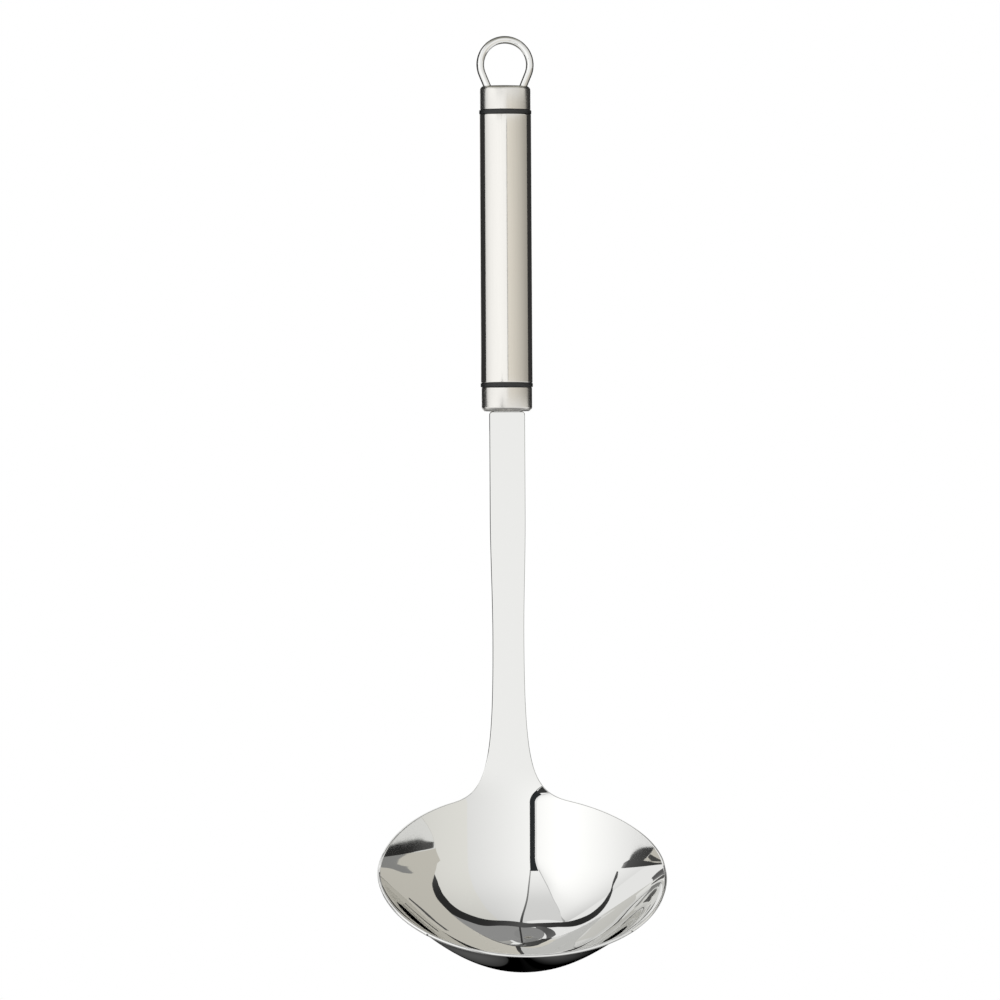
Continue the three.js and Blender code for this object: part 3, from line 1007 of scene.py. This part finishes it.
@dataclass(frozen=True)
class Card:
    """A bent studio card that only the steel sees, hung between two edges. Sizes in millimetres.

    An edge is a row of azimuths, from the front to the right, with elevations, seen from the card's centre.
    On a lying card the azimuth goes from straight up to the right, and the elevation towards the front.
    The glow goes along the edges and the fade from the first edge to the second: their product, up to the
    limit, is 1 at the white of the studio. Steel sees the card from within its reach, at the given bounce of
    a reflection and after it, so that a card can stand for one reflection alone.
    """

    name: str
    first: Edge
    second: Edge
    glow: tuple[float, ...]
    fade: tuple[float, ...] = (1.0, 1.0)
    limit: float = 5.0
    tint: str = "#FFFFFF"
    distance: float = 5000.0
    centre: tuple[float, float, float] = (0.0, -36.0, -300.0)
    lying: bool = False
    reach: float = 20000.0
    bounces: int = 1
    divisions: int = 48

    @classmethod
    def band(
        cls, name: str, azimuths: Sequence[float], levels: tuple[float, float], glow: tuple[float, ...],
        **more: Any,
    ) -> "Card":
        """Plans a card with level edges.

        Args:
            name: what the card is called.
            azimuths: of both edges.
            levels: elevation of the first edge and of the second.
            glow: along the edges.
            **more: other fields of the card.

        Returns:
            The card.
        """
        first, second = (tuple((azimuth, level) for azimuth in azimuths) for level in levels)
        return cls(name, first, second, glow, **more)

    def direction(self, along: float, over: float) -> Vector:
        """Finds the direction from the centre to a place on the card.

        Args:
            along: the place's share of the way along the edges.
            over: its share of the way from the first edge to the second.

        Returns:
            The direction, one unit long.
        """
        first = [spread(angles, along) for angles in zip(*self.first)]
        second = [spread(angles, along) for angles in zip(*self.second)]
        azimuth, elevation = (math.radians(lerp(a, b, over)) for a, b in zip(first, second))
        level = math.cos(elevation)
        aside, ahead, up = math.sin(azimuth) * level, math.cos(azimuth) * level, math.sin(elevation)
        return Vector((aside, -up, ahead)) if self.lying else Vector((aside, -ahead, up))

    def hang(self) -> None:
        """Makes the card from a grid and keeps it from every ray but a reflected one."""
        bpy.ops.object.select_all(action="DESELECT")
        bpy.ops.mesh.primitive_grid_add(
            x_subdivisions=self.divisions, y_subdivisions=self.divisions, size=2.0)
        card = bpy.context.object
        card.name = self.name
        glow = card.data.attributes.new("glow", "FLOAT", "POINT")
        for vertex in card.data.vertices:
            along = (vertex.co.x + 1) / 2
            over = (vertex.co.y + 1) / 2
            level = spread(self.glow, along) * spread(self.fade, over)
            glow.data[vertex.index].value = min(level, self.limit)
            vertex.co = (Vector(self.centre) + self.direction(along, over) * self.distance) * MM
        card.data.materials.append(self.material())
        hide_from(card, Ray.CAMERA, Ray.DIFFUSE, Ray.SHADOW, Ray.TRANSMISSION)
        log.info("studio card %s", card.name)

    def material(self) -> bpy.types.Material:
        """Makes the card's glow, which leaves the card clear where it isn't to be seen.

        Returns:
            The node material.
        """
        material, tree = new_material(self.name)
        glow = add_node(tree, "ShaderNodeAttribute", {}, attribute_name="glow")
        light = add_node(tree, "ShaderNodeEmission", {
            "Color": linear(self.tint), "Strength": glow.outputs["Fac"],
        })
        path = add_node(tree, "ShaderNodeLightPath", {})
        near = add_node(tree, "ShaderNodeMath", {
            0: path.outputs["Ray Length"], 1: self.reach * MM,
        }, operation="LESS_THAN")
        late = add_node(tree, "ShaderNodeMath", {
            0: path.outputs["Glossy Depth"], 1: self.bounces - 0.5,
        }, operation="GREATER_THAN")
        shown = add_node(tree, "ShaderNodeMath", {
            0: near.outputs["Value"], 1: late.outputs["Value"],
        }, operation="MULTIPLY")
        clear = add_node(tree, "ShaderNodeBsdfTransparent", {})
        both = add_node(tree, "ShaderNodeMixShader", {
            "Fac": shown.outputs["Value"], 1: clear.outputs["BSDF"], 2: light.outputs["Emission"],
        })
        add_node(tree, "ShaderNodeOutputMaterial", {"Surface": both.outputs["Shader"]})
        return material


@dataclass
class Studio:
    """Camera, world, floor, lamps and cards. Sizes in millimetres, angles in degrees."""

    lens: float = 190.0
    sensor: float = 36.0
    camera_distance: float = 1900.0
    aim_level: float = -164.25
    aim_aside: float = 2.67
    yaw: float = 7.9
    roll: float = -0.32
    floor_level: float = -1200.0
    floor_size: float = 30000.0
    floor_colour: str = "#F2F2F0"
    lamp_size: float = 1200.0
    lamp_watts: float = 12.0
    lamp_place: tuple[float, float, float] = (1000.0, -1200.0, 700.0)
    fill_level: float = 0.45

    def add_camera(self) -> None:
        """Stands the camera in front of the ladle, a little to its left."""
        yaw = Matrix.Rotation(math.radians(self.yaw), 4, "Z")
        roll = Matrix.Rotation(math.radians(self.roll), 4, "Y")
        stand = Matrix.Translation((-self.aim_aside * MM, -self.camera_distance * MM, 0.0))
        upright = Matrix.Rotation(math.pi / 2, 4, "X")
        aim = Matrix.Translation((0.0, 0.0, self.aim_level * MM))
        data = bpy.data.cameras.new("camera")
        data.lens = self.lens
        data.sensor_width = self.sensor
        camera = bpy.data.objects.new("camera", data)
        bpy.context.scene.collection.objects.link(camera)
        camera.matrix_world = aim @ yaw.inverted() @ roll.inverted() @ stand @ upright
        bpy.context.scene.camera = camera

    @staticmethod
    def seen_directly(tree: bpy.types.NodeTree) -> bpy.types.NodeSocket:
        """Picks the rays that show a surface as it is: the camera's and the steel's own.

        Args:
            tree: node tree of the surface or the world.

        Returns:
            An output that is 1 for those rays and 0 for others.
        """
        path = add_node(tree, "ShaderNodeLightPath", {})
        shown = add_node(tree, "ShaderNodeMath", {
            0: path.outputs["Is Camera Ray"], 1: path.outputs["Is Glossy Ray"],
        }, operation="MAXIMUM")
        shown = add_node(tree, "ShaderNodeMath", {
            0: shown.outputs["Value"], 1: path.outputs["Is Transmission Ray"],
        }, operation="MAXIMUM")
        return shown.outputs["Value"]

    def set_world(self) -> None:
        """Makes the world a soft fill that the camera and the steel see as white."""
        world = bpy.data.worlds.new("studio")
        world.use_nodes = True
        tree = world.node_tree
        tree.nodes.clear()
        fill = add_node(tree, "ShaderNodeBackground", {"Color": WHITE, "Strength": self.fill_level})
        white = add_node(tree, "ShaderNodeBackground", {"Color": WHITE, "Strength": 1.0})
        both = add_node(tree, "ShaderNodeMixShader", {
            "Fac": self.seen_directly(tree), 1: fill.outputs["Background"], 2: white.outputs["Background"],
        })
        add_node(tree, "ShaderNodeOutputWorld", {"Surface": both.outputs["Shader"]})
        bpy.context.scene.world = world

    def lay_floor(self) -> None:
        """Lays a wide pale floor that the camera and the steel see as white."""
        bpy.ops.object.select_all(action="DESELECT")
        bpy.ops.mesh.primitive_plane_add(
            size=self.floor_size * MM, location=(0.0, 0.0, self.floor_level * MM))
        floor = bpy.context.object
        floor.name = "floor"
        material, tree = new_material("pale_floor")
        paint = add_node(tree, "ShaderNodeBsdfDiffuse", {"Color": linear(self.floor_colour)})
        white = add_node(tree, "ShaderNodeEmission", {"Color": WHITE, "Strength": 1.0})
        both = add_node(tree, "ShaderNodeMixShader", {
            "Fac": self.seen_directly(tree), 1: paint.outputs["BSDF"], 2: white.outputs["Emission"],
        })
        add_node(tree, "ShaderNodeOutputMaterial", {"Surface": both.outputs["Shader"]})
        floor.data.materials.append(material)

    def hang_lamps(self) -> None:
        """Hangs two soft lamps, one on either side of the camera. The steel sees the cards instead."""
        aside, ahead, up = self.lamp_place
        target = Vector((0.0, 0.0, self.aim_level * MM))
        for _, side in SIDES:
            data = bpy.data.lights.new("soft_lamp", "AREA")
            data.shape = "SQUARE"
            data.size = self.lamp_size * MM
            data.energy = self.lamp_watts
            lamp = bpy.data.objects.new("soft_lamp", data)
            bpy.context.scene.collection.objects.link(lamp)
            lamp.location = Vector((side * aside, ahead, up)) * MM
            lamp.rotation_euler = (target - lamp.location).to_track_quat("-Z", "Y").to_euler()
            hide_from(lamp, Ray.GLOSSY, Ray.CAMERA)

    @staticmethod
    def bowl_cards() -> tuple[Card, ...]:
        """Plans what the bowl and the neck mirror at the first bounce.

        Returns:
            White walls and ceiling, the seams between them, the slit, a painted dark reflection on the neck,
            the arch and the dark ends.
        """
        dimmed_up = (1.0, 0.97, 0.86, 0.8)
        return (
            Card.band("wall_front", (-12, 18, 49), (-9, 75), (1.17, 1.05, 0.93), fade=dimmed_up),
            Card.band("wall_right", (49, 79, 110, 140), (-9, 75), (0.93, 0.86, 0.7, 0.5),
                      fade=dimmed_up, tint="#FFFEF9"),
            Card("wall_left",
                 ((-17, -9), (-30, -9), (-45, -9), (-66, -9), (-88, -9)),
                 ((-20, 10), (-28, 24), (-42, 43), (-66, 58), (-88, 63)),
                 (1.22, 1.3, 1.35, 1.2, 0.92), fade=(1.0, 1.0, 0.95, 0.8), distance=4900.0),
            Card("ceiling",
                 ((-12, 9), (-11, 24), (-9, 44), (-3, 60), (5, 73)),
                 ((-20, 9), (-28, 24), (-42, 43), (-66, 58), (-86, 62)),
                 (1.12, 1.02, 0.83, 0.8, 0.8), distance=4800.0),
            Card("seam_left",
                 ((-12.6, 9), (-11.8, 24), (-10.2, 44), (-5.2, 60), (1, 73)),
                 ((-11.6, 9), (-10.4, 24), (-7.9, 44), (-1.2, 60), (8.5, 73)),
                 (0.4, 0.3, 0.22, 0.12, 0.06), distance=4700.0),
            Card("seam_over",
                 ((2.4, 12), (2.7, 0), (3.4, -12)), ((3.8, 12), (4.1, 0), (4.8, -12)),
                 (0.05, 0.05), distance=4540.0, lying=True),
            Card("seam_right",
                 ((-20.3, 9), (-28.4, 24), (-42.8, 43.4), (-67.5, 58.6), (-87, 62.8)),
                 ((-19.7, 9), (-27.6, 24), (-41.2, 42.6), (-64.5, 57.4), (-85, 61.2)),
                 (0.5, 0.6, 0.65, 0.6, 0.4), distance=4700.0),
            Card("slit",
                 ((-11.2, -41), (-11.2, -15), (-11.5, 0), (-12, 10.5)),
                 ((-16.3, -41), (-16.3, -15), (-16.5, 0), (-19.5, 10.5)),
                 (0.07, 0.05, 0.04, 0.04), tint="#DDE8EE", distance=1500.0),
            # A small dark card 10 mm before the neck, seen only from within 16 mm: a painted dark reflection
            # in the shape of a hook on the neck.
            Card("painted_dark_neck_reflection",
                 ((-19, -13), (-12, 0), (-1, 14.5), (10, 19)),
                 ((-17, -14), (-4.5, -2), (4, 8.5), (10, 12)),
                 (0.05, 0.04), distance=10.0, centre=(10.4, -3.0, -265.9), reach=16.0),
            Card("arch",
                 ((78.2, 4), (78.8, 14), (80.5, 20), (83, 28), (81.5, 43), (58, 60.5), (-1, 72.5),
                  (-44, 71.5), (-84, 62.5), (-98, 52.5), (-96.5, 44), (-87.5, 34), (-79, 22), (-76, 12)),
                 ((92, 4), (92, 14), (97, 22), (99, 32), (93, 48), (75, 63.5), (8, 79),
                  (-64, 75), (-94, 66.5), (-111, 58), (-112, 49), (-100, 41), (-84.5, 29), (-76.8, 12)),
                 (0.08, 0.06, 0.04, 0.03, 0.03, 0.04, 0.1, 0.06, 0.04, 0.03, 0.04, 0.05, 0.08, 0.12),
                 distance=4600.0, divisions=130),
            Card("rear_grey",
                 ((91, 24), (91, 34), (87, 46), (71, 61), (34, 75), (-10, 79)),
                 ((125, 20), (125, 36), (125, 52), (125, 66), (130, 78), (160, 84)),
                 (0.33, 0.33), distance=4650.0),
            Card("zenith",
                 ((-180, 77), (-90, 77), (0, 79), (90, 77), (180, 77)),
                 ((-180, 89.9), (-90, 89.9), (0, 89.9), (90, 89.9), (180, 89.9)),
                 (0.3, 0.3), distance=4680.0),
            Card("arch_knot",
                 ((-46, 76), (-77, 73), (-120, 69)), ((-47, 78.5), (-98, 77), (-140, 73)),
                 (0.15, 0.11, 0.16), distance=4550.0),
            Card("flag_left",
                 ((-77, 2), (-78.5, -1), (-81, -2.6), (-100, -2.6), (-150, -2.6)),
                 ((-77, 8.5), (-78.5, 8.8), (-81, 8.8), (-100, 9.5), (-150, 9.5)),
                 (0.4, 0.16, 0.09, 0.03, 0.03), distance=4500.0),
            Card.band("flag_right", (92, 125, 155), (-2.5, 12), (0.05, 0.04, 0.04), distance=4500.0),
            Card("patch_right",
                 ((-105.5, 22), (-109, 23), (-113, 24), (-118, 25), (-126, 27)),
                 ((-105.5, 24.2), (-109, 27.3), (-113, 28.6), (-118, 29.8), (-126, 31.5)),
                 (0.2, 0.13, 0.14, 0.22, 0.25), distance=4500.0),
        )

    @staticmethod
    def second_bounce_cards() -> tuple[Card, ...]:
        """Plans what the bowl's two ends mirror by way of its far side.

        Returns:
            A warm wall, and dark patches and lines before it.
        """
        return (
            Card("late_patch",
                 ((4.9, -2.1), (5.8, -2.3), (6.5, -2.45), (8.2, -2.54), (12, -2.6)),
                 ((4.9, -1.8), (5.8, -1.6), (6.5, -1.4), (8.2, -0.2), (12, 0.4)),
                 (0.12, 0.11, 0.08, 0.04, 0.04), distance=4400.0, bounces=2),
            Card("late_grey",
                 ((8, 0), (9, 0), (10, 0), (12.8, 0)), ((8, 0.5), (9, 3.2), (10, 8), (12.8, 8)),
                 (0.4, 0.36), distance=4450.0, bounces=2),
            Card.band("late_wall", (-45, 0, 45, 95), (-0.5, 75), (0.98, 0.84, 0.8, 0.76),
                      tint="#FFFBF2", distance=4850.0, bounces=2),
            Card.band("late_side", (-50, -80), (35, 50), (0.9, 0.84),
                      tint="#FFFEFB", distance=4850.0, bounces=2),
            Card("late_end",
                 ((-54, 29), (-75, 29.6), (-102, 29.6)), ((-54, 31.2), (-75, 31.4), (-102, 31.6)),
                 (0.13, 0.26, 0.36), distance=4400.0, bounces=2),
            Card("late_leaf",
                 ((60, 23), (60, 31), (58, 40)), ((67, 23), (67, 31), (65, 40)),
                 (0.12, 0.12), distance=4400.0, bounces=2),
            Card.band("late_corner", (8.5, 12.5), (24, 31), (0.1, 0.1), distance=4400.0, bounces=2),
        )

    @staticmethod
    def ground_cards() -> tuple[Card, ...]:
        """Plans what the underside, the shank's back and the handle mirror from below.

        Returns:
            A dark ground behind the bowl, its light horizon, and a grey ground in front.
        """
        behind = (95, 125, 158, 170, 179, 182, 215, 265)
        return (
            Card.band("below", behind, (-88, -5), (0.5, 0.36, 0.03, 0.003, 0.003, 0.06, 0.3, 0.5),
                      distance=700.0),
            Card.band("below_edge", behind, (-14, -3), (0.5, 0.36, 0.05, 0.02, 0.02, 0.07, 0.3, 0.5),
                      fade=(1.0, 4.0, 40.0), limit=0.98, distance=690.0),
            Card.band("front_floor", (-85, 0, 85), (-88, -20), (0.22, 0.22), fade=(1.0, 1.0, 1.4, 4.5),
                      distance=900.0, centre=(0.0, 0.0, -131.0), reach=925.0),
        )

    @staticmethod
    def handle_cards() -> tuple[Card, ...]:
        """Plans what the handle, its caps and the loop mirror from near by.

        Returns:
            A hood over the loop, dark flags round the handle's edge, and the light panels before it.
        """
        beside = {"centre": (0.0, 0.0, -62.0), "distance": 100.0, "reach": 118.0}
        ends = {"centre": (0.0, 0.0, -62.0), "distance": 102.0, "reach": 120.0,
                "lying": True, "fade": (1.0, 1.5, 3.0)}
        before = {"centre": (0.0, 0.0, -70.0), "reach": 140.0}
        tall = (-28.8, 29)
        return (
            Card.band("hood", (-180, -90, 0, 90, 180), (48, 89), (0.28, 0.28), fade=(2.2, 1.2, 1.0),
                      tint="#F6F5E8", distance=150.0, centre=(0.0, 0.0, 0.0), reach=200.0),
            *(Card.band(f"handle_flag_{name}", (84 * side, 150 * side), (-50, 60), (0.04, 0.04), **beside)
              for name, side in SIDES),
            Card.band("handle_crown", (-55, 0, 55), (-5, -50), (0.06, 0.06), **ends),
            *(Card.band(f"handle_heel_{name}", (125 * side, 154 * side), (-5, -50), (0.05, 0.05), **ends)
              for name, side in SIDES),
            Card.band("handle_panel", (-85, -60, -24, 3.4), tall, (0.85, 1.15, 1.28, 1.22),
                      distance=125.0, **before),
            Card.band("handle_line", (3.2, 4.8), tall, (0.3, 0.3), distance=122.0, **before),
            Card.band("handle_side", (4.6, 20, 45, 68, 85), tall, (0.98, 0.88, 0.7, 0.52, 0.42),
                      tint="#FFFAF0", distance=125.0, **before),
        )

    def hang_cards(self) -> None:
        """Hangs all the cards that the steel mirrors."""
        for plan in (self.bowl_cards, self.second_bounce_cards, self.ground_cards, self.handle_cards):
            for card in plan():
                card.hang()

    @staticmethod
    def set_view() -> None:
        """Sets the plain view transform."""
        bpy.context.scene.view_settings.view_transform = "Standard"

    def build(self) -> None:
        """Sets up everything around the ladle."""
        self.add_camera()
        self.set_world()
        self.lay_floor()
        self.hang_lamps()
        self.hang_cards()
        self.set_view()


def main() -> None:
    """Loads the frame, builds each sub-assembly and sets up the studio."""
    logging.basicConfig(level=logging.INFO, format="%(name)s %(message)s")
    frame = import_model()
    polished = MirrorSteel().material()
    satin = SatinSteel().material()
    matt = SatinSteel("stainless_steel_fine_blasted", finest=0.24, coarsest=0.27, line_depth=0.0).material()
    rubber = BlackRubber().material()
    nylon = GreyNylon().material()

    loop = HangingLoop(polished)
    loop.build()
    grip = HandleGrip(satin, matt, rubber)
    grip.build_tube()
    grip.build_caps(loop.leg_places())
    grip.build_rings()
    PressedHead(polished).build()
    HiddenCore(nylon, satin).dress(frame["nodes"])
    Studio().build()


if __name__ == "__main__":
    main()
